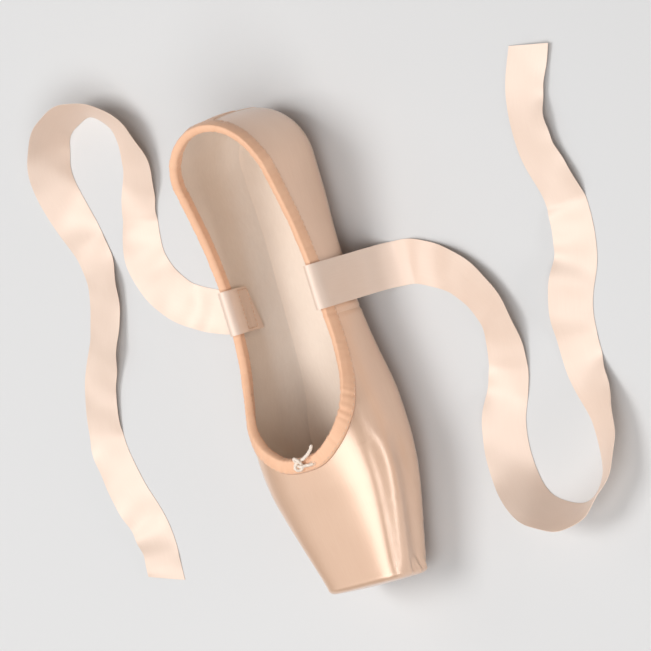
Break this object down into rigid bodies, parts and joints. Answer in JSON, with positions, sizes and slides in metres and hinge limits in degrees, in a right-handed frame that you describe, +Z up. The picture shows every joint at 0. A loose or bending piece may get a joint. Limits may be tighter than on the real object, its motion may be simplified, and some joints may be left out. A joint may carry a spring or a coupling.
{
  "type": "pointe shoe",
  "caption": "Satin pointe shoe with a stiffened box and flat platform, open collar with a folded binding and drawstring, leather outsole, and ankle ribbons laid down.",
  "frame": {"origin": "on the floor, under the middle of the shoe's own length and width, ribbons and drawstring left out", "axes": "+X towards the toe, +Z up, +Y to the wearer's left"},
  "size_m": [0.2723, 0.3337, 0.0593],
  "materials": {
    "satin": "smooth peach satin",
    "sole_leather": "matt tan split leather",
    "sock_board": "pale woven sock over board",
    "binding_tape": "apricot folded tape",
    "drawstring_cotton": "cream cotton cord",
    "ribbon_satin": "pale peach satin ribbon"
  },
  "bodies": {
    "root": {"upper": "satin", "outsole": "sole_leather", "insole": "sock_board", "binding": "binding_tape", "drawstring": "drawstring_cotton", "ribbon_left": "ribbon_satin", "ribbon_right": "ribbon_satin"}
  },
  "joints": []
}
